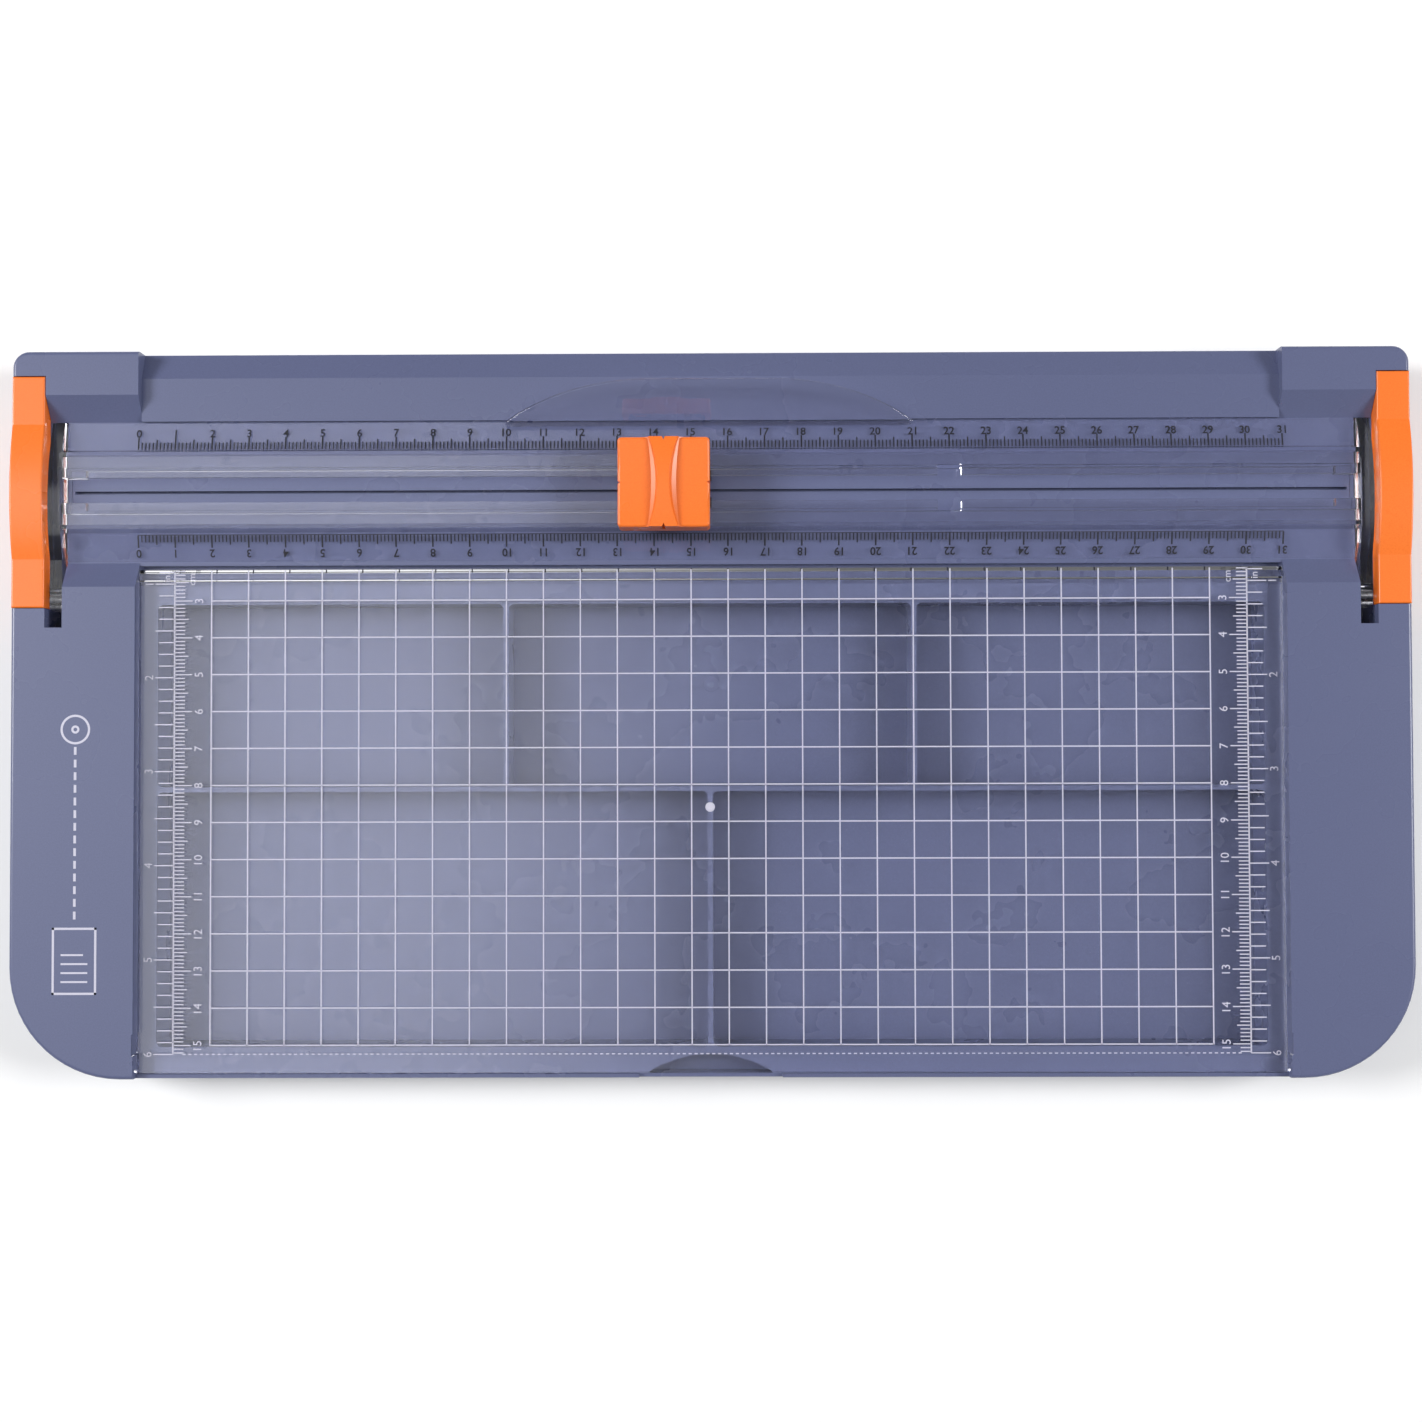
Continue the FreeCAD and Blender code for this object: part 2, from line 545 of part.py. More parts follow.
def lifting_tab():
    """The D-shaped tab behind the ruler, curved up so that a finger goes under it."""
    y = CUT_Y + RULER_HALF
    z = BED_Z + HIDDEN_GAP
    clear_z = SHELF_Z + TAB_OVER_SHELF
    lower = [V(0, y - TAB_ROOT, z), V(0, y + RULER_SIDE_GAP - 0.1, clear_z), V(0, y + TAB_REACH, z + TAB_RISE)]
    upper = [V(0, y - TAB_ROOT - 0.7, z + FLANGE_EDGE + 0.3), V(0, y - 0.4, clear_z + 0.9),
             V(0, y + TAB_REACH, z + TAB_RISE + TAB)]
    edges = [
        Part.Arc(*lower).toShape(), Part.makeLine(lower[2], upper[2]),
        Part.Arc(*reversed(upper)).toShape(), Part.makeLine(upper[0], lower[0]),
    ]
    sheet = Part.Face(Part.Wire(edges)).extrude(V(TAB_CHORD, 0, 0))
    sheet.translate(V(-TAB_CHORD / 2, 0, 0))
    half = TAB_CHORD / 2
    r = TAB_CORNER_R
    edge_y = y + TAB_REACH
    centre_x = half - math.sqrt(r ** 2 - (r - TAB_REACH) ** 2)
    middle = (half + centre_x) / 2
    middle_y = edge_y - r + math.sqrt(r ** 2 - (middle - centre_x) ** 2)
    rim = []
    for side in SIDES:
        root = V(side * half, y, 0)
        rim.append(Part.Arc(root, V(side * middle, middle_y, 0), V(side * centre_x, edge_y, 0)).toShape())
    rim.append(Part.makeLine(V(-centre_x, edge_y, 0), V(centre_x, edge_y, 0)))
    root_y = y - 6
    rim.append(Part.makeLine(V(half, y, 0), V(half, root_y, 0)))
    rim.append(Part.makeLine(V(half, root_y, 0), V(-half, root_y, 0)))
    rim.append(Part.makeLine(V(-half, root_y, 0), V(-half, y, 0)))
    plan = Part.Face(Part.Wire(Part.__sortEdges__(rim))).extrude(V(0, 0, 2 * RIM_Z))
    tab = sheet.common(plan)
    brim = [e for e in tab.Edges if e.BoundBox.ZMax > upper[2].z - 0.05 and e.Length > 2 * TAB]
    return tab.makeFillet(TAB_BRIM_R, brim)


def ear(side):
    """An end plate of the ruler: arched over the rails, with an arm down to the pin in front."""
    foot_z = BED_Z + HIDDEN_GAP
    rear = CUT_Y + RULER_HALF
    flat_z = BED_Z + EAR_FRONT_RISE
    arch_z = BED_Z + EAR_ARCH
    middle = (COVER_REAR_Y + COVER_FRONT_Y) / 2
    arch_end = middle - COVER_LENGTH / 2 + COVER_FLAT
    points = [
        (arch_end, flat_z), (EAR_FRONT_Y + 1.2, flat_z), (EAR_FRONT_Y, flat_z - 1.2),
        (EAR_FRONT_Y, PIN_Z + 1), (PIN_Y, PIN_Z - 1), (PIN_Y + PIN_BOSS_R, PIN_Z - 1), (PIN_Y + 14, foot_z),
        (rear, foot_z), (rear, foot_z + FLANGE),
    ]
    plate = arch_profile(points, (middle, arch_z), side * EAR_X, side * (EAR_X + EAR))
    boss = rod_x(side * EAR_X, side * (EAR_X + EAR), PIN_Y, PIN_Z, PIN_BOSS_R)
    return joined(plate, [boss])


def ruler_beam():
    """The clear ruler: two flanges, two rails over a slot, a tab behind and an ear at each end."""
    parts = [rail_half(-1), lifting_tab()]
    stop_x = CUT_HALF + SHOE_REACH
    for side in SIDES:
        parts.append(ear(side))
        for half in SIDES:
            y0 = CUT_Y + half * LIP_INNER
            y1 = CUT_Y + half * (RIB_INNER + RIB)
            parts.append(side_box(side, stop_x, EAR_X + 0.5, y0, y1, BED_Z + RIB_BOTTOM, PLATE_Z + 0.5))
    ruler = joined(rail_half(1), parts)
    cuts = []
    for half in SIDES:
        y0 = CUT_Y + half * (LIP_INNER - 1)
        y1 = CUT_Y + half * (RIB_INNER + RIB)
        cuts.append(box(NOTCH_X - NOTCH_LENGTH / 2, NOTCH_X + NOTCH_LENGTH / 2, y0, y1, BED_Z, RAIL_Z + 1))
    for side in SIDES:
        cuts.append(rod_x(side * (EAR_X - 1), side * (EAR_X + EAR + 1), PIN_Y, PIN_Z, PIN_R + PIN_RUN))
    return ruler.cut(cuts).removeSplitter()


def at_head(x0, x1, v0, v1, z0, z1):
    """A box counted from the middle of the head: x along the cut, v across it, z above the table."""
    return box(REST_X + x0, REST_X + x1, CUT_Y + v0, CUT_Y + v1, z0, z1)


def carriage_frame():
    """The slide on the rails: a plate, four hooks under the lips, two posts and two catches."""
    plate = at_head(-CARRIAGE_HALF_X, CARRIAGE_HALF_X, -CARRIAGE_HALF_Y, CARRIAGE_HALF_Y, CARRIAGE_Z, CARRIAGE_TOP)
    opening = [
        at_head(-CHEEK_HALF - 0.4, CHEEK_HALF + 0.4, -CHEEK_OUTER - 0.4, CHEEK_OUTER + 0.4, 0, CARRIAGE_TOP + 1),
        at_head(-BLADE_R - 0.5, BLADE_R + 0.5, -0.8, 0.8, 0, CARRIAGE_TOP + 1),
    ]
    plate = plate.cut(opening)
    shoe_top = PLATE_Z - SLIDE_GAP
    leg_outer = LIP_INNER - 0.3
    parts = []
    for sx in SIDES:
        for sy in SIDES:
            inner = sx * (SHOE_REACH - SHOE)
            outer = sx * SHOE_REACH
            parts.append(at_head(inner, outer, sy * (leg_outer - LEG), sy * (RIB_INNER - 0.3),
                                 shoe_top - SHOE_THICK, shoe_top))
            parts.append(at_head(inner, sx * CARRIAGE_HALF_X, sy * (leg_outer - LEG), sy * leg_outer,
                                 shoe_top - SHOE_THICK, CARRIAGE_TOP))
        wall_top = HEAD_Z + 2.8
        parts.append(at_head(sx * (CARRIAGE_HALF_X - 0.9), sx * CARRIAGE_HALF_X, -3.2, 3.2, CARRIAGE_Z, wall_top))
        parts.append(at_head(sx * (CARRIAGE_HALF_X - 0.9), sx * (CARRIAGE_HALF_X + CATCH), -2.5, 2.5,
                             HEAD_Z + 0.7, HEAD_Z + 1.5))
        top = CEILING_Z - PRESS - 0.3
        parts.append(rod_z(REST_X + sx * POST_X, CUT_Y + sx * POST_Y, CARRIAGE_Z, top, POST_R))
        parts.append(rod_z(REST_X, CUT_Y + sx * SPRING_Y, CARRIAGE_Z, CARRIAGE_TOP + 1.2,
                           SPRING_R - SPRING_WIRE_R - 0.3))
    return joined(plate, parts)


def waisted(half, top, low, spread):
    """A body between two arcs, half wide on each side of its waist, that spreads from top to low."""
    body = at_head(-HEAD_X / 2 + 1, HEAD_X / 2 - 1, -HEAD_Y / 2, HEAD_Y / 2, CEILING_Z, top)
    cutters = []
    for side in SIDES:
        centre = V(REST_X + side * (half + RIDGE_ARC_R), CUT_Y, low)
        cutters.append(Part.makeCone(RIDGE_ARC_R - spread, RIDGE_ARC_R, top - low, centre))
    return body.cut(cutters)


def head_marks():
    """Small V-shaped marks in the middle of the head's four sides, in line with the blade."""
    marks = []
    top = BED_Z + HEAD_TOP + 1
    for dx, dy in ((1, 0), (-1, 0), (0, 1), (0, -1)):
        x = REST_X + dx * HEAD_X / 2
        y = CUT_Y + dy * HEAD_Y / 2
        corners = [
            V(x - dx * MARK, y - dy * MARK, top - 8),
            V(x + dx + dy * MARK, y + dy + dx * MARK, top - 8),
            V(x + dx - dy * MARK, y + dy - dx * MARK, top - 8),
        ]
        marks.append(Part.Face(Part.makePolygon(corners + corners[:1])).extrude(V(0, 0, 8)))
    return marks


def head_cap():
    """The orange head: a hollow block with a waisted ridge between two thumb hollows."""
    top = BED_Z + HEAD_TOP
    pad = BED_Z + PAD_LOW
    block = at_head(-HEAD_X / 2, HEAD_X / 2, -HEAD_Y / 2, HEAD_Y / 2, HEAD_Z, top)
    upright = [e for e in block.Edges if abs(e.tangentAt(e.FirstParameter).z) > 0.9]
    block = block.makeFillet(HEAD_CORNER_R, upright)
    block = block.cut(rod_x(REST_X - HEAD_X, REST_X + HEAD_X, CUT_Y, pad + PAD_DISH_R, PAD_DISH_R))
    brim = [e for e in block.Edges if e.BoundBox.ZMin > pad - 0.1]
    block = block.makeFillet(HEAD_BRIM_R, brim)
    arch = rod_x(REST_X - HEAD_X, REST_X + HEAD_X, CUT_Y, top - HEAD_ARCH_R, HEAD_ARCH_R)
    ridge = waisted(RIDGE_HALF, top, pad, RIDGE_FLANK).common(arch)
    cove = waisted(RIDGE_HALF + RIDGE_FLANK - COVE_LAP, pad + COVE_RISE, pad, COVE_SPREAD)
    block = joined(block, [ridge, cove])
    cavity = [
        at_head(-INNER_X, INNER_X, -INNER_Y, INNER_Y, HEAD_Z - 1, CEILING_Z),
        at_head(-BLADE_R - 0.6, BLADE_R + 0.6, -CHEEK_INNER, CHEEK_INNER, HEAD_Z, AXLE_Z + BLADE_R + 0.5),
    ]
    cavity += head_marks()
    for sx in SIDES:
        cavity.append(at_head(sx * (INNER_X - 0.5), sx * (INNER_X + CATCH - 0.1), -2.9, 2.9, HEAD_Z + 0.5,
                              HEAD_Z + 1.5 + PRESS + 0.3))
    cap = block.cut(cavity)
    room = at_head(-INNER_X - 0.3, INNER_X + 0.3, -INNER_Y - 0.3, INNER_Y + 0.3, HEAD_Z, CEILING_Z + 0.3)
    bosses = []
    for sx in SIDES:
        socket = rod_z(REST_X + sx * POST_X, CUT_Y + sx * POST_Y, CARRIAGE_TOP + PRESS + 0.2, CEILING_Z + 0.3, SOCKET_R)
        bosses.append(socket.common(room))
    cap = joined(cap, bosses)
    holes = []
    for sx in SIDES:
        holes.append(rod_z(REST_X + sx * POST_X, CUT_Y + sx * POST_Y, CARRIAGE_TOP, CEILING_Z, POST_R + POST_RUN))
        holes.append(rod_z(REST_X - sx * SCREW_X, CUT_Y + sx * SCREW_Y, CEILING_Z - 1, CEILING_Z + 1.6, SCREW_R))
    return cap.cut(holes)


def blade_holder():
    """The holder under the head's ceiling: a slotted plate with two cheeks for the axle."""
    low = CEILING_Z - HOLDER_PLATE
    plate = at_head(-HOLDER_HALF, HOLDER_HALF, -CHEEK_OUTER, CHEEK_OUTER, low, CEILING_Z)
    parts = []
    for s in SIDES:
        y0 = s * CHEEK_INNER
        y1 = s * CHEEK_OUTER
        parts.append(at_head(-CHEEK_HALF, CHEEK_HALF, y0, y1, AXLE_Z, CEILING_Z))
        parts.append(rod_y(REST_X, CUT_Y + y0, CUT_Y + y1, AXLE_Z, CHEEK_HALF - 0.6))
        pad = rod_z(REST_X - s * SCREW_X, CUT_Y + s * SCREW_Y, low, CEILING_Z, SCREW_HEAD_R + 0.3)
        parts.append(pad)
        parts.append(at_head(-s * (SCREW_X - 2.2), -s * (SCREW_X + 2.2), s * 1.5, s * SCREW_Y, low, CEILING_Z))
    holder = joined(plate, parts)
    cuts = [
        at_head(-BLADE_R - 0.6, BLADE_R + 0.6, -CHEEK_INNER, CHEEK_INNER, 0, CEILING_Z + 1),
        rod_y(REST_X, CUT_Y - 5, CUT_Y + 5, AXLE_Z, AXLE_R),
    ]
    for s in SIDES:
        cuts.append(rod_z(REST_X - s * SCREW_X, CUT_Y + s * SCREW_Y, low - 1, CEILING_Z + 1, SCREW_R))
    return holder.cut(cuts)


def holder_screws():
    """Two pan-head screws up through the holder into the head."""
    low = CEILING_Z - HOLDER_PLATE
    screws = []
    for s in SIDES:
        x = REST_X - s * SCREW_X
        y = CUT_Y + s * SCREW_Y
        shank = rod_z(x, y, low, CEILING_Z + 1.6, SCREW_R)
        head = rod_z(x, y, low - 1.2, low, SCREW_HEAD_R)
        cross = [box(x - 1.2, x + 1.2, y - 0.25, y + 0.25, low - 1.3, low - 0.6),
                 box(x - 0.25, x + 0.25, y - 1.2, y + 1.2, low - 1.3, low - 0.6)]
        screws.append(joined(shank, [head]).cut(cross))
    return Part.Compound(screws)


def blade_axle():
    """The steel axle between the holder's cheeks."""
    return rod_y(REST_X, CUT_Y - CHEEK_OUTER, CUT_Y + CHEEK_OUTER, AXLE_Z, AXLE_R)


def blade_hub():
    """The bush in the middle of the blade, with a flange behind it."""
    bush = rod_y(REST_X, CUT_Y - HUB_HALF, CUT_Y + HUB_HALF, AXLE_Z, HUB_R)
    flange = rod_y(REST_X, CUT_Y + BLADE / 2, CUT_Y + HUB_HALF, AXLE_Z, HUB_FLANGE_R)
    return joined(bush, [flange]).cut(rod_y(REST_X, CUT_Y - 5, CUT_Y + 5, AXLE_Z, AXLE_R + AXLE_RUN))


def hub_washer():
    """The washer pressed on the bush in front of the blade."""
    ring = rod_y(REST_X, CUT_Y - HUB_HALF + 0.1, CUT_Y - BLADE / 2, AXLE_Z, HUB_FLANGE_R)
    return ring.cut(rod_y(REST_X, CUT_Y - 5, CUT_Y + 5, AXLE_Z, HUB_R))


def rotary_blade():
    """The round steel blade, bevelled on both faces to its edge."""
    bevel = 1.2
    half = BLADE / 2
    section = [
        V(HUB_R, -half, 0), V(BLADE_R - bevel, -half, 0), V(BLADE_R, 0, 0), V(BLADE_R - bevel, half, 0),
        V(HUB_R, half, 0),
    ]
    face = Part.Face(Part.makePolygon(section + section[:1]))
    disc = face.revolve(V(0, 0, 0), V(0, 1, 0), 360)
    disc.translate(V(REST_X, CUT_Y, AXLE_Z))
    return disc


def return_spring(side):
    """A compression spring between the carriage and the head's ceiling."""
    height = CEILING_Z - CARRIAGE_TOP - 2 * SPRING_WIRE_R
    helix = Part.makeHelix(height / SPRING_TURNS, height, SPRING_R)
    ring = Part.Wire([Part.makeCircle(SPRING_WIRE_R, V(SPRING_R, 0, 0), V(0, 1, 0))])
    coil = Part.Wire(helix.Edges).makePipeShell([ring], True, True)
    coil.translate(V(REST_X, CUT_Y + side * SPRING_Y, CARRIAGE_TOP + SPRING_WIRE_R))
    return coil


def main():
    nodes = {
        "base_shell": base_shell(),
        "cutting_strip": cutting_strip(),
        "lid_panel": lid_panel(),
        "ruler_beam": ruler_beam(),
        "carriage_frame": carriage_frame(),
        "head_cap": head_cap(),
        "blade_holder": blade_holder(),
        "holder_screws": holder_screws(),
        "blade_axle": blade_axle(),
        "blade_hub": blade_hub(),
        "hub_washer": hub_washer(),
        "rotary_blade": rotary_blade(),
        "front_return_spring": return_spring(-1),
        "rear_return_spring": return_spring(1),
    }
    for name, side in (("left", -1), ("right", 1)):
        nodes[f"{name}_end_cover"] = end_cover(side)
        nodes[f"{name}_hinge_pin"] = hinge_pin(side)
    for name, x, y in foot_places():
        nodes[name] = foot(x, y)
    os.makedirs("parts", exist_ok=True)
    for name, shape in nodes.items():
        shape.exportStep(f"parts/{name}.step")
        box_of = shape.BoundBox
        print(f"{name}: {len(shape.Solids)} solid(s), valid {shape.isValid()}, {shape.Volume / 1000:.2f} cm3, "
              f"x {box_of.XMin:.2f}..{box_of.XMax:.2f} y {box_of.YMin:.2f}..{box_of.YMax:.2f} "
              f"z {box_of.ZMin:.2f}..{box_of.ZMax:.2f}")


main()
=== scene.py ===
# %% [markdown]
# A rotary paper trimmer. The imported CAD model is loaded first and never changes: it is the frame that
# every finish and every printed mark in this lesson is placed on. All lengths are metres.

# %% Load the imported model
import math
import bmesh
import bpy
import json
from mathutils import Matrix, Vector


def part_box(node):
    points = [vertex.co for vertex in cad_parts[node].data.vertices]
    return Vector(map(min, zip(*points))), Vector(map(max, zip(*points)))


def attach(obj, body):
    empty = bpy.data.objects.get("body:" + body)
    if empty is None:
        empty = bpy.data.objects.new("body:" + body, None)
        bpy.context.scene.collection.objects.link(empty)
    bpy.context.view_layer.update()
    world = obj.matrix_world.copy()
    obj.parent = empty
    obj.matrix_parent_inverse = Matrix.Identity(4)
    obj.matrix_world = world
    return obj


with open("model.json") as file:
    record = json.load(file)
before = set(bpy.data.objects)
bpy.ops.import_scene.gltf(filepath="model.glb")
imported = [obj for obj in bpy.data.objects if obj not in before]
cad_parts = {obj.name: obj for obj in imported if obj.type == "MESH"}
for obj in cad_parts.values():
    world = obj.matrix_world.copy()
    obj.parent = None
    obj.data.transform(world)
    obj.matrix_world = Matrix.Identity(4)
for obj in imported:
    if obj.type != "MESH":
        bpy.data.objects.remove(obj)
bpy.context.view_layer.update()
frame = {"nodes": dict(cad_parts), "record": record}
nodes = frame["nodes"]
MM = 0.001

# %% [markdown]
# The print is measured from a few edges of the CAD: the cut line is the middle of the cutting strip,
# and the printed scales lie on the lid's upper face and on the ruler's flanges. Reading these edges
# from the model keeps the print in register. The flange's own sizes have no edge in the nodes' boxes,
# so they are given here and have to follow the CAD by hand.

# %% The lines that the print is measured from
strip_low, strip_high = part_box("cutting_strip")
lid_low, lid_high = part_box("lid_panel")
base_low, base_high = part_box("base_shell")
cut_y = (strip_low.y + strip_high.y) / 2
bed_z = strip_high.z
lid_top = lid_high.z
FLANGE_ROOT = 11.3 * MM
FLANGE_ROOT_HEIGHT = 1.9 * MM
FLANGE_WIDTH = 7.5 * MM
FLANGE_DROP = 1.3 * MM
LID_LEDGE = 2.4 * MM
flange_top = bed_z + FLANGE_ROOT_HEIGHT
rim_top = base_high.z
half_span = (lid_high.x - lid_low.x) / 2 - LID_LEDGE
print(f"cut line y {cut_y:.4f}, bed z {bed_z:.4f}")
print(f"lid top z {lid_top:.4f}, half span {half_span:.4f}")

# %% [markdown]
# The camera hangs half a metre over the trimmer and looks almost straight down, a degree or so off
# true, as a hand-set tripod would. A longer lens from further away would flatten the slight fanning of
# the grid, so the distance matters more than the zoom.

# %% Camera
camera_data = bpy.data.cameras.new("overhead_camera")
camera_data.sensor_width = 36
camera_data.lens = 46.835
camera_data.clip_start = 0.02
camera = bpy.data.objects.new("overhead_camera", camera_data)
bpy.context.scene.collection.objects.link(camera)
camera_place = Vector((4.21 * MM, cut_y - 72.69 * MM, 518.08 * MM))
turns = (Matrix.Rotation(math.radians(-0.170), 4, "Z") @ Matrix.Rotation(math.radians(1.46), 4, "X")
         @ Matrix.Rotation(math.radians(0.453), 4, "Y"))
camera.matrix_world = Matrix.Translation(camera_place) @ turns
bpy.context.scene.camera = camera
print("camera at", [round(v, 4) for v in camera.location])

# %% [markdown]
# Node trees are easier to read when one helper adds a node and sets its plain values, and another
# joins sockets. Every material below is built with these two.

# %% Helpers for node trees
def add_node(tree, kind, at=(0, 0), inputs=None, **settings):
    """One node, with its settings and the plain values of its sockets."""
    node = tree.nodes.new(kind)
    node.location = at
    for name, value in settings.items():
        setattr(node, name, value)
    for name, value in (inputs or {}).items():
        node.inputs[name].default_value = value
    return node


def join(tree, source, target):
    """A link from one socket to another, each given as (node, name or number)."""
    tree.links.new(source[0].outputs[source[1]], target[0].inputs[target[1]])


def map_range(tree, source, low, high, to_low, to_high, at=(0, 0), smooth=False):
    """A value brought from one range to another."""
    ends = {"From Min": low, "From Max": high, "To Min": to_low, "To Max": to_high}
    node = add_node(tree, "ShaderNodeMapRange", at, ends,
                    interpolation_type="SMOOTHSTEP" if smooth else "LINEAR")
    join(tree, source, (node, "Value"))
    return (node, "Result")


print("helpers: add_node, join, map_range")

# %% [markdown]
# The studio is a dim pale dome with one large bright cloth overhead on the left. On a glossy lid that
# cloth shows as a milky veil over one half, which is what tells the eye that the lid is clear plastic.
# A gradient in the world shader gives the cloth a soft edge; an area lamp would mirror as a hard
# rectangle.

# %% Dome
world = bpy.data.worlds.new("studio_dome")
world.use_nodes = True
bpy.context.scene.world = world
dome = world.node_tree
dome.nodes.clear()
direction = add_node(dome, "ShaderNodeTexCoord", (-900, 0))
parts_of_direction = add_node(dome, "ShaderNodeSeparateXYZ", (-700, 0))
join(dome, (direction, "Generated"), (parts_of_direction, "Vector"))
cloth_edges = []
for axis, outside, inside, height in (("X", 0.05, -0.19, 150), ("X", -0.62, -0.45, 0),
                                      ("Y", -0.21, -0.165, -150), ("Y", 0.30, 0.20, -300)):
    cloth_edges.append(map_range(dome, (parts_of_direction, axis), outside, inside, 0.0, 1.0,
                                 (-500, height), smooth=True))
cloth = cloth_edges[0]
for edge in cloth_edges[1:]:
    both = add_node(dome, "ShaderNodeMath", (-300, 0), operation="MULTIPLY")
    join(dome, cloth, (both, 0))
    join(dome, edge, (both, 1))
    cloth = (both, "Value")
DOME_DIM = 0.20
CLOTH_BRIGHT = 1.85
dome_strength = map_range(dome, cloth, 0.0, 1.0, DOME_DIM, CLOTH_BRIGHT, (-100, 0))
dome_light = add_node(dome, "ShaderNodeBackground", (100, 0), {"Color": (0.97, 0.98, 1.0, 1)})
join(dome, dome_strength, (dome_light, "Strength"))
dome_out = add_node(dome, "ShaderNodeOutputWorld", (300, 0))
join(dome, (dome_light, "Background"), (dome_out, "Surface"))
print("dome of", len(dome.nodes), "nodes")

# %% [markdown]
# Two area lamps, far out at the left and the right, give the light its direction. They stand outside
# the cone that the lid mirrors to the camera. Most creases and rails of the trimmer run from left to
# right, so their sides lean to the front or the rear and don't flash in lamps at the two ends. The
# short upright faces of the ruler's notch face the ends, and two small glints stay there.

# %% Lamps and floor
LAMP_SIZE = 0.6


def area_lamp(name, place, watts):
    """A soft lamp aimed at the middle of the trimmer."""
    data = bpy.data.lights.new(name, "AREA")
    data.shape = "DISK"
    data.size = LAMP_SIZE
    data.energy = watts
    lamp = bpy.data.objects.new(name, data)
    lamp.location = place
    lamp.rotation_mode = "QUATERNION"
    lamp.rotation_quaternion = Vector(place).to_track_quat("Z", "Y")
    lamp.visible_transmission = False
    bpy.context.scene.collection.objects.link(lamp)
    return lamp


lamps = [
    area_lamp("left_lamp", (-1.25, 0.22, 1.05), 19.5),
    area_lamp("right_lamp", (1.25, 0.08, 1.05), 16.5),
]
FLOOR_REACH = 6.0
FLOOR_GAP = 0.2 * MM
floor_corners = [(x * FLOOR_REACH, y * FLOOR_REACH, 0) for x, y in ((-1, -1), (1, -1), (1, 1), (-1, 1))]
floor_mesh = bpy.data.meshes.new("floor")
floor_mesh.from_pydata(floor_corners, [], [(0, 1, 2, 3)])
floor = bpy.data.objects.new("floor", floor_mesh)
bpy.context.scene.collection.objects.link(floor)
floor.location.z = -FLOOR_GAP
floor_paint = bpy.data.materials.new("pale_floor")
floor_paint.use_nodes = True
floor_shader = floor_paint.node_tree.nodes["Principled BSDF"]
floor_shader.inputs["Base Color"].default_value = (0.93, 0.93, 0.93, 1)
floor_shader.inputs["Roughness"].default_value = 0.9
floor_mesh.materials.append(floor_paint)
bpy.context.scene.view_settings.view_transform = "Standard"
print("lamps:", [lamp.name for lamp in lamps])

# %% [markdown]
# Moulded plastic is never perfectly smooth. The steel mould is spark-eroded, which leaves a fine even
# grain, and handling leaves broad faint smudges. Both are wanted on several finishes at different
# strengths, so each is a node group with its own inputs, and each material decides what to do with
# the values that come out.

# %% Shader groups
def new_group(name, inputs, outputs):
    """A shader node group with named float or vector sockets."""
    group = bpy.data.node_groups.new(name, "ShaderNodeTree")
    for socket, kind, value in inputs:
        made = group.interface.new_socket(name=socket, in_out="INPUT", socket_type=kind)
        if value is not None:
            made.default_value = value
    for socket, kind in outputs:
        group.interface.new_socket(name=socket, in_out="OUTPUT", socket_type=kind)
    entry = add_node(group, "NodeGroupInput", (-800, 0))
    return group, entry, add_node(group, "NodeGroupOutput", (600, 0))


def noise(tree, vector, scale, at, detail=2.0, roughness=0.5):
    """A noise texture on a vector, with its scale plain or linked."""
    node = add_node(tree, "ShaderNodeTexNoise", at, {"Detail": detail, "Roughness": roughness})
    join(tree, vector, (node, "Vector"))
    if isinstance(scale, tuple):
        join(tree, scale, (node, "Scale"))
    else:
        node.inputs["Scale"].default_value = scale
    return (node, "Fac")


grain_group, grain_in, grain_out = new_group(
    "mould_grain",
    [("Vector", "NodeSocketVector", None), ("Grains per metre", "NodeSocketFloat", 3000.0)],
    [("Height", "NodeSocketFloat"), ("Speckle", "NodeSocketFloat")])
fine = noise(grain_group, (grain_in, "Vector"), (grain_in, "Grains per metre"), (-500, 100), 3.0, 0.6)
join(grain_group, fine, (grain_out, "Height"))
join(grain_group, map_range(grain_group, fine, 0.35, 0.65, 0.0, 1.0, (-200, -100)),
     (grain_out, "Speckle"))

smudge_group, smudge_in, smudge_out = new_group(
    "handling",
    [("Vector", "NodeSocketVector", None), ("Patches per metre", "NodeSocketFloat", 25.0)],
    [("Smudge", "NodeSocketFloat"), ("Scratch", "NodeSocketFloat")])
broad = noise(smudge_group, (smudge_in, "Vector"), (smudge_in, "Patches per metre"), (-500, 200), 4.0,
              0.6)
join(smudge_group, map_range(smudge_group, broad, 0.4, 0.7, 0.0, 1.0, (-200, 200), smooth=True),
     (smudge_out, "Smudge"))
stretched = add_node(smudge_group, "ShaderNodeMapping", (-550, -200),
                     {"Scale": (6.0, 500.0, 60.0), "Rotation": (0.0, 0.0, 0.35)})
join(smudge_group, (smudge_in, "Vector"), (stretched, "Vector"))
streak = noise(smudge_group, (stretched, "Vector"), 4.0, (-350, -200), 1.0)
join(smudge_group, map_range(smudge_group, streak, 0.72, 0.80, 0.0, 1.0, (-100, -200)),
     (smudge_out, "Scratch"))
print("groups:", [group.name for group in (grain_group, smudge_group)])

# %% [markdown]
# The base, the end covers, the head and the hidden black parts are all injection-moulded plastic. They
# differ in colour, gloss and grain only, so one function builds them. A bump made from the grain's
# height breaks the highlight up; a very small change of colour keeps large flats from looking painted.

# %% Moulded plastic
def with_group(tree, group, coordinates, at, **values):
    """A group placed in a material and fed with the object's own coordinates."""
    node = add_node(tree, "ShaderNodeGroup", at, node_tree=group)
    join(tree, (coordinates, "Object"), (node, "Vector"))
    for name, value in values.items():
        node.inputs[name.replace("_", " ")].default_value = value
    return node


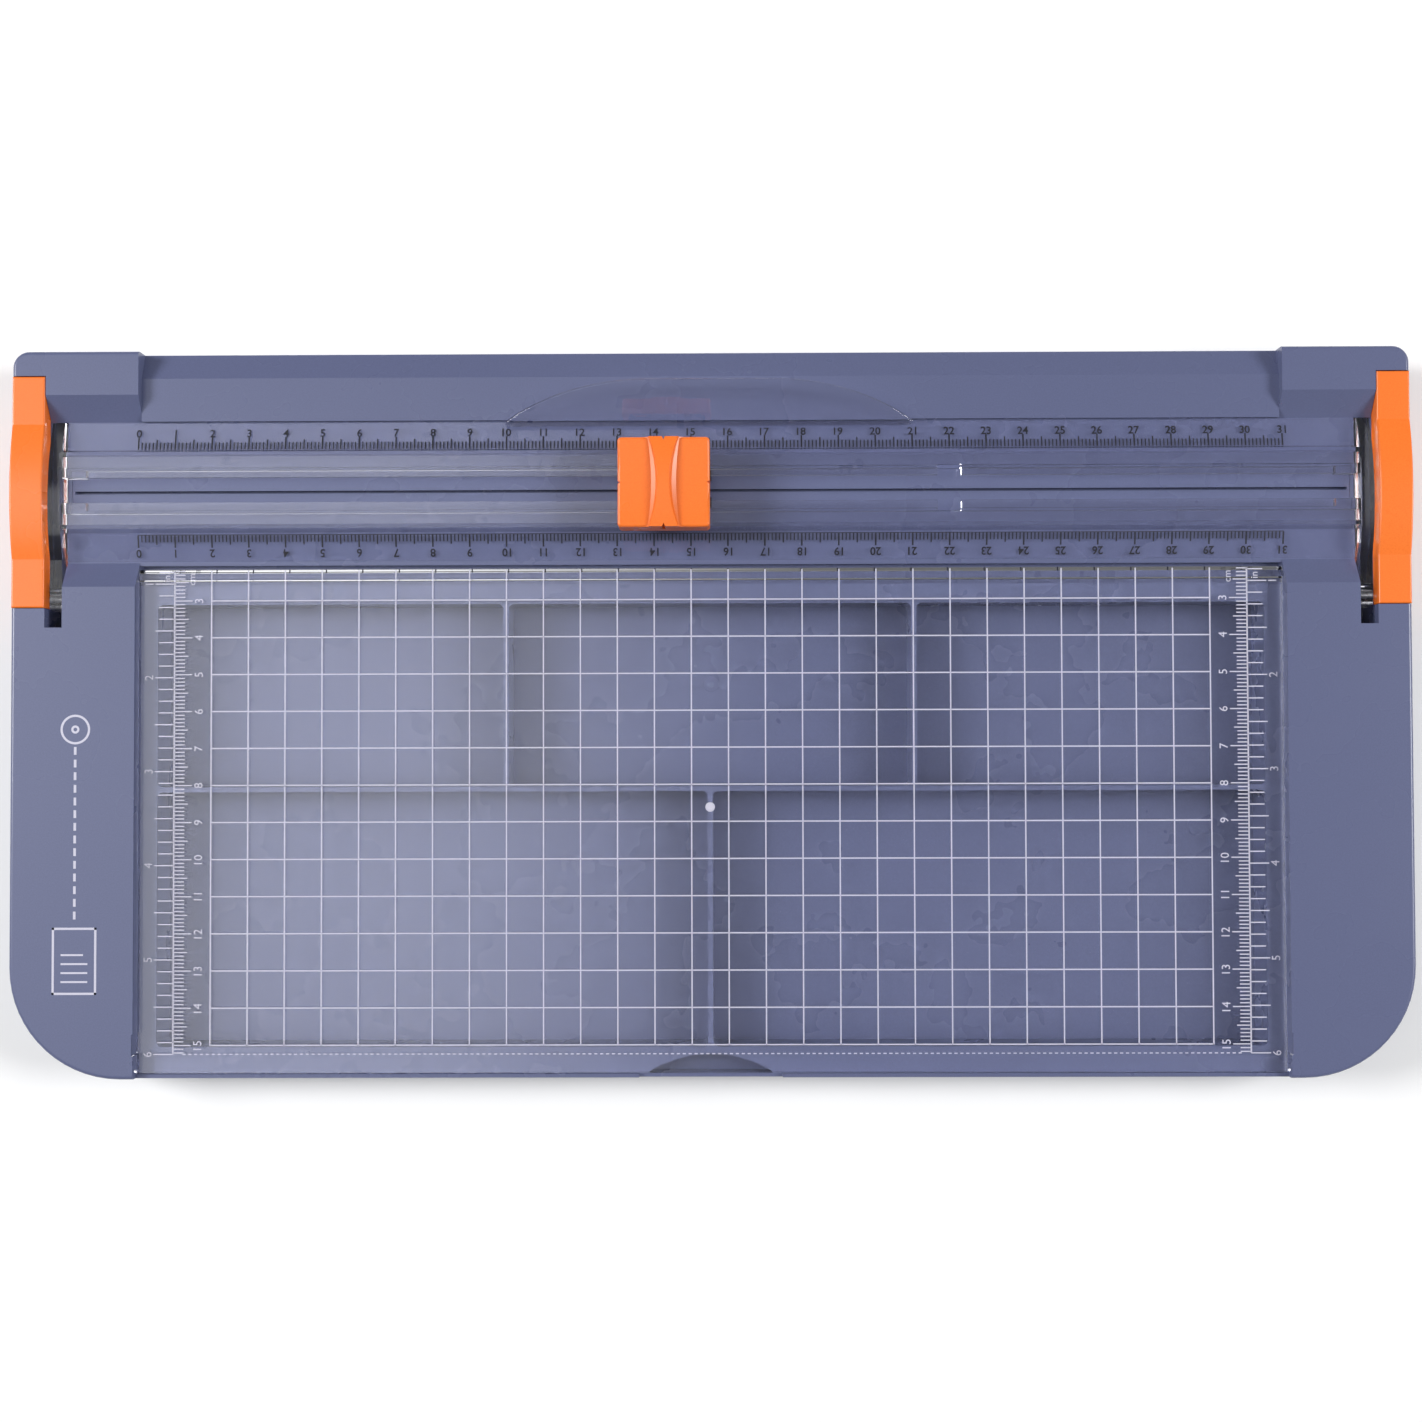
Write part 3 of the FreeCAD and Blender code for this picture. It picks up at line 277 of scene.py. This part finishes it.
def colour_between(tree, factor, dark, light, at):
    """A colour that moves from dark to light with a value."""
    node = add_node(tree, "ShaderNodeMix", at, data_type="RGBA")
    node.inputs[6].default_value = (*dark, 1)
    node.inputs[7].default_value = (*light, 1)
    join(tree, factor, (node, 0))
    return (node, 2)


SMUDGED = 0.03
GRAIN_DEPTH = 0.04 * MM


def moulded(name, dark, light, gloss, grains=2600.0, bump=0.25):
    """Moulded plastic: gloss is its roughness where it is clean; handling adds up to SMUDGED."""
    material = bpy.data.materials.new(name)
    material.use_nodes = True
    tree = material.node_tree
    shader = tree.nodes["Principled BSDF"]
    place = add_node(tree, "ShaderNodeTexCoord", (-900, 0))
    grain = with_group(tree, grain_group, place, (-700, 100), Grains_per_metre=grains)
    marks = with_group(tree, smudge_group, place, (-700, -200))
    join(tree, colour_between(tree, (grain, "Speckle"), dark, light, (-400, 250)), (shader, "Base Color"))
    join(tree, map_range(tree, (marks, "Smudge"), 0.0, 1.0, gloss, gloss + SMUDGED, (-400, -100)),
         (shader, "Roughness"))
    relief = add_node(tree, "ShaderNodeBump", (-200, -300), {"Strength": bump, "Distance": GRAIN_DEPTH})
    join(tree, (grain, "Height"), (relief, "Height"))
    join(tree, (relief, "Normal"), (shader, "Normal"))
    return material


base_plastic = moulded("blue_grey_plastic", (0.104, 0.118, 0.216), (0.115, 0.131, 0.238), 0.27,
                       bump=0.10)
orange_plastic = moulded("orange_plastic", (0.88, 0.175, 0.020), (0.94, 0.200, 0.026), 0.26, bump=0.08)
black_plastic = moulded("black_plastic", (0.012, 0.012, 0.014), (0.022, 0.022, 0.024), 0.42)
foot_rubber = moulded("foot_rubber", (0.030, 0.030, 0.032), (0.050, 0.050, 0.052), 0.75,
                      grains=1500.0, bump=0.5)
moulded_finishes = (base_plastic, orange_plastic, black_plastic, foot_rubber)
print("moulded finishes:", [material.name for material in moulded_finishes])

# %% [markdown]
# The lid and the ruler are clear acrylic. A real refractive shader bends what lies under them and
# mirrors the studio. Light through refraction is slow to converge, so for shadow rays the material is
# a plain tinted film: the tray below is then lit cleanly. The same film takes over for rays that have
# been mirrored or bent too often inside the plastic, which would otherwise end as black lines along
# its edges. Tiny ripples in the surface make the mirrored highlights run unevenly along the rails.

# %% Clear plastic
ACRYLIC_IOR = 1.49
RIPPLE_DEPTH = 0.2 * MM
MOST_MIRRORINGS = 2.5
MOST_BOUNCES = 7.5


def clear(name, tint, film, ripple, ripple_scale, gloss=0.02, worn_gloss=0.06):
    """Clear plastic: tint colours what is seen through it, film what light passes to things below."""
    material = bpy.data.materials.new(name)
    material.use_nodes = True
    tree = material.node_tree
    shader = tree.nodes["Principled BSDF"]
    shader.location = (0, 200)
    shader.inputs["Base Color"].default_value = (*tint, 1)
    shader.inputs["IOR"].default_value = ACRYLIC_IOR
    shader.inputs["Transmission Weight"].default_value = 1.0
    place = add_node(tree, "ShaderNodeTexCoord", (-900, 0))
    marks = with_group(tree, smudge_group, place, (-700, -100), Patches_per_metre=18.0)
    worn = add_node(tree, "ShaderNodeMath", (-500, -100), {1: 0.5}, operation="MULTIPLY_ADD")
    join(tree, (marks, "Scratch"), (worn, 0))
    join(tree, (marks, "Smudge"), (worn, 2))
    join(tree, map_range(tree, (worn, "Value"), 0.0, 1.5, gloss, gloss + worn_gloss, (-300, -100)),
         (shader, "Roughness"))
    waves = add_node(tree, "ShaderNodeMapping", (-700, -400), {"Scale": ripple_scale})
    join(tree, (place, "Object"), (waves, "Vector"))
    relief = add_node(tree, "ShaderNodeBump", (-200, -350), {"Strength": ripple, "Distance": RIPPLE_DEPTH})
    join(tree, noise(tree, (waves, "Vector"), 1.0, (-450, -400)), (relief, "Height"))
    join(tree, (relief, "Normal"), (shader, "Normal"))
    rays = add_node(tree, "ShaderNodeLightPath", (-300, 500))
    trapped = add_node(tree, "ShaderNodeMath", (-100, 600), {1: MOST_MIRRORINGS},
                       operation="GREATER_THAN")
    join(tree, (rays, "Glossy Depth"), (trapped, 0))
    deep = add_node(tree, "ShaderNodeMath", (-100, 450), {1: MOST_BOUNCES},
                    operation="GREATER_THAN")
    join(tree, (rays, "Ray Depth"), (deep, 0))
    as_film = (rays, "Is Shadow Ray")
    for lost in (trapped, deep):
        either = add_node(tree, "ShaderNodeMath", (100, 500), operation="MAXIMUM")
        join(tree, as_film, (either, 0))
        join(tree, (lost, "Value"), (either, 1))
        as_film = (either, "Value")
    pass_light = add_node(tree, "ShaderNodeBsdfTransparent", (0, -400), {"Color": (*film, 1)})
    mix = add_node(tree, "ShaderNodeMixShader", (350, 200))
    join(tree, as_film, (mix, 0))
    join(tree, (shader, "BSDF"), (mix, 1))
    join(tree, (pass_light, "BSDF"), (mix, 2))
    join(tree, (mix, "Shader"), (tree.nodes["Material Output"], "Surface"))
    return material


clear_lid = clear("clear_lid_plastic", (0.95, 0.95, 0.965), (0.72, 0.72, 0.725), 0.01,
                  (30.0, 30.0, 30.0), gloss=0.0, worn_gloss=0.02)
clear_ruler = clear("clear_ruler_plastic", (0.92, 0.92, 0.94), (0.65, 0.65, 0.68), 0.03,
                    (8.0, 90.0, 90.0))
print("clear finishes:", [material.name for material in (clear_lid, clear_ruler)])

# %% [markdown]
# The small metal parts are mostly hidden, but they show when the ruler is lifted. Turned and drawn
# steel keeps fine lines along one direction; stretching a noise along that direction and feeding it to
# the roughness is enough at this size.

# %% Metals
def metal(name, colour, roughness, lines=(400.0, 9000.0, 400.0)):
    """Bare metal with fine tool lines."""
    material = bpy.data.materials.new(name)
    material.use_nodes = True
    tree = material.node_tree
    shader = tree.nodes["Principled BSDF"]
    shader.inputs["Metallic"].default_value = 1.0
    place = add_node(tree, "ShaderNodeTexCoord", (-900, 0))
    stretch = add_node(tree, "ShaderNodeMapping", (-700, 0), {"Scale": lines})
    join(tree, (place, "Object"), (stretch, "Vector"))
    tool_lines = noise(tree, (stretch, "Vector"), 1.0, (-500, 0), 2.0)
    darker = tuple(0.8 * channel for channel in colour)
    join(tree, colour_between(tree, tool_lines, darker, colour, (-250, 150)), (shader, "Base Color"))
    join(tree, map_range(tree, tool_lines, 0.3, 0.7, roughness, roughness + 0.14, (-250, -100)),
         (shader, "Roughness"))
    return material


steel = metal("drawn_steel", (0.62, 0.62, 0.63), 0.22)
blade_steel = metal("ground_blade_steel", (0.70, 0.70, 0.72), 0.14, (5000.0, 300.0, 5000.0))
brass = metal("turned_brass", (0.80, 0.60, 0.28), 0.25)
print("metals:", [material.name for material in (steel, blade_steel, brass)])

# %% [markdown]
# Screen-printed ink is a thin matte film with a slightly uneven edge and density, so its colour moves
# a little from place to place.

# %% Inks
white_ink = moulded("white_ink", (0.53, 0.52, 0.63), (0.60, 0.59, 0.70), 0.5, grains=6000.0, bump=0.05)
black_ink = moulded("black_ink", (0.004, 0.004, 0.008), (0.009, 0.009, 0.015), 0.55, grains=6000.0,
                    bump=0.05)
print("inks:", white_ink.name, black_ink.name)

# %% [markdown]
# A CAD node keeps its shape and place, and gets its finish through its material slots.

# %% Finish every CAD node
finish_of_slot = {
    "base_plastic": base_plastic, "orange_plastic": orange_plastic, "clear_lid": clear_lid,
    "clear_ruler": clear_ruler, "black_plastic": black_plastic, "steel": steel,
    "blade_steel": blade_steel, "brass": brass, "foot_rubber": foot_rubber,
}
for subpart in frame["record"]["subparts"]:
    node = nodes[subpart["node"]]
    node.data.materials.clear()
    node.data.materials.append(finish_of_slot[subpart["material_slot"]])

# %% [markdown]
# Printed marks are real, very thin solids. Each bar is a closed box and each figure an extruded
# letter shape, all merged into one mesh for each print, so the print rides with the part that it is
# on, and it stays sharp from every distance.

# %% Helpers for print
INK = 0.03 * MM
CAPITAL_SHARE = 0.70


def bar(bm, x0, x1, y0, y1, z):
    """A closed thin box lying on height z."""
    centre = Matrix.Translation(((x0 + x1) / 2, (y0 + y1) / 2, z + INK / 2))
    sizes = Matrix.Diagonal((abs(x1 - x0), abs(y1 - y0), INK, 1))
    bmesh.ops.create_cube(bm, size=1.0, matrix=centre @ sizes)


def figure(bm, text, x, y, z, height, turn=0.0, bold=0.0):
    """Figures whose capital height is given, centred on a point and turned about it."""
    curve = bpy.data.curves.new("figure", "FONT")
    curve.body = text
    curve.size = height / CAPITAL_SHARE
    curve.align_x = "CENTER"
    curve.align_y = "CENTER"
    curve.extrude = INK / 2
    curve.offset = bold
    curve.resolution_u = 3
    maker = bpy.data.objects.new("figure", curve)
    bpy.context.scene.collection.objects.link(maker)
    settled = maker.evaluated_get(bpy.context.evaluated_depsgraph_get())
    mesh = bpy.data.meshes.new_from_object(settled)
    xs = [v.co.x for v in mesh.vertices]
    ys = [v.co.y for v in mesh.vertices]
    middle = Vector(((min(xs) + max(xs)) / 2, (min(ys) + max(ys)) / 2, 0))
    mesh.transform(Matrix.Translation((x, y, z + INK / 2)) @ Matrix.Rotation(turn, 4, "Z")
                   @ Matrix.Translation(-middle))
    bm.from_mesh(mesh)
    bpy.data.objects.remove(maker)
    bpy.data.curves.remove(curve)
    bpy.data.meshes.remove(mesh)


def print_piece(name, bm, ink, body):
    """The finished print as one object that rides on a body."""
    mesh = bpy.data.meshes.new(name)
    bmesh.ops.remove_doubles(bm, verts=bm.verts, dist=1e-7)
    bmesh.ops.recalc_face_normals(bm, faces=bm.faces)
    bm.to_mesh(mesh)
    bm.free()
    mesh.materials.append(ink)
    piece = bpy.data.objects.new(name, mesh)
    bpy.context.scene.collection.objects.link(piece)
    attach(piece, body)
    print(name, "faces:", len(mesh.polygons))
    return piece


print("ink film:", INK)

# %% [markdown]
# The lid carries a one-centimetre grid, and at each side a scale with millimetres inside and eighths
# of an inch outside. Both scales count from the same zero, near the cut line, and a dashed line closes
# them at six inches. The figures are turned a quarter, to read from the right-hand side.

# %% Print on the lid
LINE = 0.34 * MM
TICK = 0.30 * MM
SIDE_LINE = 0.40 * MM
LID_FIGURE = 2.25 * MM
UNIT_FIGURE = 1.9 * MM
CM = 10 * MM
INCH = 25.4 * MM
zero_y = cut_y + 0.3 * MM
lid_bm = bmesh.new()
lid_rear = lid_high.y - 0.4 * MM
for i in range(2, 30):
    x = i * CM - half_span
    bar(lid_bm, x - LINE / 2, x + LINE / 2, zero_y - 15 * CM - LINE / 2, lid_rear, lid_top)
for j in range(3, 16):
    y = zero_y - j * CM
    bar(lid_bm, 2 * CM - half_span, 29 * CM - half_span, y - LINE / 2, y + LINE / 2, lid_top)
for side in (-1, 1):
    line_x = side * (half_span - CM)
    bar(lid_bm, line_x - SIDE_LINE / 2, line_x + SIDE_LINE / 2, zero_y - 6 * INCH, lid_rear, lid_top)
    for k in range(22, 153):
        y = zero_y - k * MM
        if y < lid_rear:
            length = 4.8 * MM if k % 10 == 0 else 3.75 * MM if k % 5 == 0 else 2.85 * MM
            bar(lid_bm, line_x, line_x - side * length, y - TICK / 2, y + TICK / 2, lid_top)
    for k in range(6, 49):
        y = zero_y - k * INCH / 8
        if y < lid_rear:
            length = 5.3 * MM if k % 4 == 0 else 4.2 * MM
            bar(lid_bm, line_x, line_x + side * length, y - TICK / 2, y + TICK / 2, lid_top)
    for j in range(3, 16):
        figure(lid_bm, str(j), line_x - side * 6.6 * MM, zero_y - j * CM, lid_top, LID_FIGURE,
               math.pi / 2)
    for j in range(1, 7):
        figure(lid_bm, str(j), line_x + side * 6.9 * MM, zero_y - j * INCH, lid_top, LID_FIGURE,
               math.pi / 2)
    figure(lid_bm, "cm", line_x - side * 4.9 * MM, zero_y - 24.2 * MM, lid_top, UNIT_FIGURE,
           math.pi / 2)
    figure(lid_bm, "in", line_x + side * 2.1 * MM, zero_y - 23.9 * MM, lid_top, UNIT_FIGURE,
           math.pi / 2)
dash_end = half_span - CM - 3.0 * MM
DASHES = 180
DASH_HALF = 0.42 * MM
DASH_HALF_WIDTH = 0.15 * MM
for k in range(DASHES):
    x = -dash_end + k * 2 * dash_end / (DASHES - 1)
    bar(lid_bm, x - DASH_HALF, x + DASH_HALF, zero_y - 6 * INCH - DASH_HALF_WIDTH,
        zero_y - 6 * INCH + DASH_HALF_WIDTH, lid_top)
lid_print = print_piece("lid_print", lid_bm, white_ink, "lid")

# %% [markdown]
# Where the plastic ran into the mould, a small round witness stays: a low nub in the middle of the lid
# and a faint disc on the tray's floor. The nub is clear plastic like the lid, but it is drawn in white
# ink: a painted highlight standing in for the glint on its dome. Both are turned profiles, so a loop
# that spins a few points round an upright axis makes them.

# %% Moulding marks
def turned(name, material, profile_points, place, body, segments=32):
    """A closed low button: its profile, from the rim to the middle, spun round an upright axis."""
    bm = bmesh.new()
    rings = []
    for radius, height in profile_points:
        rings.append([bm.verts.new((place[0] + radius * math.cos(2 * math.pi * k / segments),
                                    place[1] + radius * math.sin(2 * math.pi * k / segments),
                                    place[2] + height)) for k in range(segments)])
    for a, b in zip(rings, rings[1:]):
        for k in range(segments):
            n = (k + 1) % segments
            bm.faces.new((a[k], a[n], b[n], b[k]))
    bm.faces.new(rings[0])
    bm.faces.new(rings[-1])
    return print_piece(name, bm, material, body)


nub_profile = [(1.30 * MM, 0), (1.28 * MM, 0.10 * MM), (1.10 * MM, 0.22 * MM), (0.70 * MM, 0.28 * MM),
               (0.25 * MM, 0.20 * MM)]
nub_place = (0.0, lid_high.y - 64.7 * MM, lid_top)
# The nub's shape is real; its white ink is a painted highlight, because the real nub is clear plastic that
# catches the light.
lid_nub_painted_highlight = turned("lid_nub_painted_highlight", white_ink, nub_profile, nub_place, "lid")
floor_profile = [(2.6 * MM, 0), (2.6 * MM, 0.06 * MM), (2.2 * MM, 0.08 * MM), (2.0 * MM, 0.02 * MM)]
floor_place = (0.2 * MM, lid_high.y - 31.0 * MM, 4.0 * MM)
floor_mark = turned("floor_mark", base_plastic, floor_profile, floor_place, "base")

# %% [markdown]
# The ruler's two flanges carry centimetre scales in black. The rear one reads from the front, and the
# front one is turned round to read from behind, where the other half of the sheet lies. The flanges
# thin out towards their edges, so the flat print is sheared down onto their slope as a last step.

# %% Print on the ruler
RULER_TICKS = {0: (0.44 * MM, 3.4 * MM, 3.3 * MM), 5: (0.38 * MM, 2.8 * MM, 2.5 * MM)}
MM_TICK = (0.33 * MM, 2.0 * MM, 1.8 * MM)
BOLD = 0.055 * MM
RULER_FIGURE = 2.1 * MM
FRONT_LINE = 0.2 * MM
REAR_TICK_FOOT = 11.45 * MM
FRONT_TICK_FOOT = 11.9 * MM
REAR_FIGURES = 15.95 * MM
FRONT_FIGURES = 16.75 * MM
ruler_bm = bmesh.new()
for k in range(0, 311):
    width, rear_length, front_length = RULER_TICKS.get(k % 10, MM_TICK)
    x = k * MM - half_span
    bar(ruler_bm, x - width / 2, x + width / 2, cut_y + REAR_TICK_FOOT,
        cut_y + REAR_TICK_FOOT + rear_length, flange_top)
    bar(ruler_bm, x - width / 2, x + width / 2, cut_y - FRONT_TICK_FOOT,
        cut_y - FRONT_TICK_FOOT - front_length, flange_top)
bar(ruler_bm, -half_span, half_span, cut_y - FRONT_TICK_FOOT, cut_y - FRONT_TICK_FOOT + FRONT_LINE,
    flange_top)
for i in range(0, 32):
    x = i * CM - half_span
    figure(ruler_bm, str(i), x, cut_y + REAR_FIGURES, flange_top, RULER_FIGURE, bold=BOLD)
    figure(ruler_bm, str(i), x, cut_y - FRONT_FIGURES, flange_top, RULER_FIGURE, math.pi, bold=BOLD)
for vertex in ruler_bm.verts:
    past_root = max(0.0, abs(vertex.co.y - cut_y) - FLANGE_ROOT)
    vertex.co.z -= past_root * FLANGE_DROP / FLANGE_WIDTH
ruler_print = print_piece("ruler_print", ruler_bm, black_ink, "ruler")

# %% [markdown]
# The left rim carries a small generic sign: a written sheet of paper, a dashed line and the round
# blade that cuts along it. It says what the tool is for without a word or a mark of any maker.

# %% Sign on the rim
def ring(bm, x, y, z, outer, inner, segments=40):
    """A flat closed ring."""
    loops = []
    for radius, height in ((outer, 0), (outer, INK), (inner, INK), (inner, 0)):
        loops.append([bm.verts.new((x + radius * math.cos(2 * math.pi * k / segments),
                                    y + radius * math.sin(2 * math.pi * k / segments), z + height))
                      for k in range(segments)])
    for a, b in zip(loops, loops[1:] + loops[:1]):
        for k in range(segments):
            n = (k + 1) % segments
            bm.faces.new((a[k], a[n], b[n], b[k]))


sign_bm = bmesh.new()
sign_x = base_low.x + 17.7 * MM
sheet_y0, sheet_y1 = zero_y - 136 * MM, zero_y - 118 * MM
sheet_half = 6.0 * MM
STROKE = 0.6 * MM
DASH_STEP = 3.4 * MM
SIGN_DASHES = 14
bar(sign_bm, sign_x - sheet_half, sign_x + sheet_half, sheet_y0, sheet_y0 + STROKE, rim_top)
bar(sign_bm, sign_x - sheet_half, sign_x - sheet_half + STROKE, sheet_y0, sheet_y1, rim_top)
bar(sign_bm, sign_x + sheet_half - STROKE, sign_x + sheet_half, sheet_y0, sheet_y1, rim_top)
bar(sign_bm, sign_x - sheet_half, sign_x + sheet_half, sheet_y1 - STROKE, sheet_y1, rim_top)
for k in range(4):
    y = sheet_y0 + (3.2 + 2.4 * k) * MM
    bar(sign_bm, sign_x - 3.6 * MM, sign_x + (3.6 - 1.2 * (k == 3)) * MM, y, y + 0.5 * MM, rim_top)
dash_y = sheet_y1 + 2.2 * MM
for k in range(SIGN_DASHES):
    y = dash_y + k * DASH_STEP
    bar(sign_bm, sign_x - 0.35 * MM, sign_x + 0.35 * MM, y, y + 2.1 * MM, rim_top)
blade_y = dash_y + (SIGN_DASHES + 1) * DASH_STEP
ring(sign_bm, sign_x, blade_y, rim_top, 4.0 * MM, 3.4 * MM)
ring(sign_bm, sign_x, blade_y, rim_top, 1.1 * MM, 0.5 * MM)
rim_sign = print_piece("rim_sign", sign_bm, white_ink, "base")
